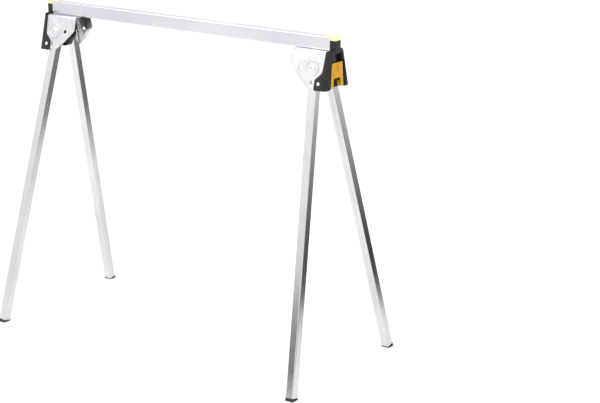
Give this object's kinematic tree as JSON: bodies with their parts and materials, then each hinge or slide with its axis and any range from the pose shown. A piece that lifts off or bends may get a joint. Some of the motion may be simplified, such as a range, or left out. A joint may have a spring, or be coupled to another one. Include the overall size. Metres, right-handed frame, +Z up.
{
  "type": "folding sawhorse",
  "caption": "Folding sawhorse: a steel beam on four square tube legs that fold flat under it, with saddle brackets, moulded end housings and release latches.",
  "frame": {"origin": "on the floor under the middle of the beam", "axes": "+X along the beam, +Y across it towards the rear legs, +Z up"},
  "size_m": [1.1162, 0.525, 0.9724],
  "materials": {
    "galvanised_steel": "satin",
    "black_plastic": "textured",
    "yellow_plastic": "satin",
    "foot_plastic": "matt",
    "zinc_rivet": "bright",
    "spring_steel": "drawn wire",
    "nylon": "natural"
  },
  "bodies": {
    "frame": {"beam_tube": "galvanised_steel", "right_bracket": "galvanised_steel", "left_bracket": "galvanised_steel", "right_end_housing": "black_plastic", "left_end_housing": "black_plastic", "right_guide_block": "black_plastic", "left_guide_block": "black_plastic", "right_top_pad": "yellow_plastic", "left_top_pad": "yellow_plastic", "right_latch_spring": "spring_steel", "left_latch_spring": "spring_steel", "web_rivets": "zinc_rivet", "pivot_rivets": "zinc_rivet", "pivot_washers": "nylon", "ear_rivets": "zinc_rivet"},
    "right_latch": {"right_latch": "yellow_plastic"},
    "left_latch": {"left_latch": "yellow_plastic"},
    "front_right_leg": {"front_right_leg_tube": "galvanised_steel", "front_right_foot": "foot_plastic", "front_right_pivot_bush": "zinc_rivet", "front_right_pin_guide": "nylon", "front_right_pin_spring": "spring_steel"},
    "front_right_lock_pin": {"front_right_lock_pin": "zinc_rivet"},
    "rear_right_leg": {"rear_right_leg_tube": "galvanised_steel", "rear_right_foot": "foot_plastic", "rear_right_pivot_bush": "zinc_rivet", "rear_right_pin_guide": "nylon", "rear_right_pin_spring": "spring_steel"},
    "rear_right_lock_pin": {"rear_right_lock_pin": "zinc_rivet"},
    "rear_left_leg": {"rear_left_leg_tube": "galvanised_steel", "rear_left_foot": "foot_plastic", "rear_left_pivot_bush": "zinc_rivet", "rear_left_pin_guide": "nylon", "rear_left_pin_spring": "spring_steel"},
    "rear_left_lock_pin": {"rear_left_lock_pin": "zinc_rivet"},
    "front_left_leg": {"front_left_leg_tube": "galvanised_steel", "front_left_foot": "foot_plastic", "front_left_pivot_bush": "zinc_rivet", "front_left_pin_guide": "nylon", "front_left_pin_spring": "spring_steel"},
    "front_left_lock_pin": {"front_left_lock_pin": "zinc_rivet"}
  },
  "joints": [
    {"name": "front_right_fold", "type": "hinge", "parent": "frame", "child": "front_right_leg", "pos_m": [0.4725, -0.02866, 0.8835], "axis": [0, 0.9703, -0.2419], "range_deg": [0, 92.73]},
    {"name": "rear_right_fold", "type": "hinge", "parent": "frame", "child": "rear_right_leg", "pos_m": [0.4725, 0.02866, 0.8835], "axis": [0, 0.9703, 0.2419], "range_deg": [0, 96.33]},
    {"name": "rear_left_fold", "type": "hinge", "parent": "frame", "child": "rear_left_leg", "pos_m": [-0.4725, 0.02866, 0.8835], "axis": [0, -0.9703, -0.2419], "range_deg": [0, 92.73]},
    {"name": "front_left_fold", "type": "hinge", "parent": "frame", "child": "front_left_leg", "pos_m": [-0.4725, -0.02866, 0.8835], "axis": [0, -0.9703, 0.2419], "range_deg": [0, 96.33]},
    {"name": "right_latch_slide", "type": "slide", "parent": "frame", "child": "right_latch", "axis": [0, 0, 1], "range_m": [-0.004, 0.005], "stiffness_N_per_m": 600, "deforming": ["right_latch_spring"]},
    {"name": "left_latch_slide", "type": "slide", "parent": "frame", "child": "left_latch", "axis": [0, 0, 1], "range_m": [-0.004, 0.005], "stiffness_N_per_m": 600, "deforming": ["left_latch_spring"]},
    {"name": "front_right_lock_pin_slide", "type": "slide", "parent": "front_right_leg", "child": "front_right_lock_pin", "axis": [0, -0.9703, 0.2419], "range_m": [-0.00375, 0.003], "deforming": ["front_right_pin_spring"]},
    {"name": "rear_right_lock_pin_slide", "type": "slide", "parent": "rear_right_leg", "child": "rear_right_lock_pin", "axis": [0, 0.9703, 0.2419], "range_m": [-0.00375, 0.003], "deforming": ["rear_right_pin_spring"]},
    {"name": "rear_left_lock_pin_slide", "type": "slide", "parent": "rear_left_leg", "child": "rear_left_lock_pin", "axis": [0, 0.9703, 0.2419], "range_m": [-0.00375, 0.003], "deforming": ["rear_left_pin_spring"]},
    {"name": "front_left_lock_pin_slide", "type": "slide", "parent": "front_left_leg", "child": "front_left_lock_pin", "axis": [0, -0.9703, 0.2419], "range_m": [-0.00375, 0.003], "deforming": ["front_left_pin_spring"]}
  ],
  "couplings": [
    {"joint": "front_right_lock_pin_slide", "follows": "right_latch_slide", "ratio": -0.75},
    {"joint": "rear_right_lock_pin_slide", "follows": "right_latch_slide", "ratio": -0.75},
    {"joint": "rear_left_lock_pin_slide", "follows": "left_latch_slide", "ratio": -0.75},
    {"joint": "front_left_lock_pin_slide", "follows": "left_latch_slide", "ratio": -0.75}
  ]
}
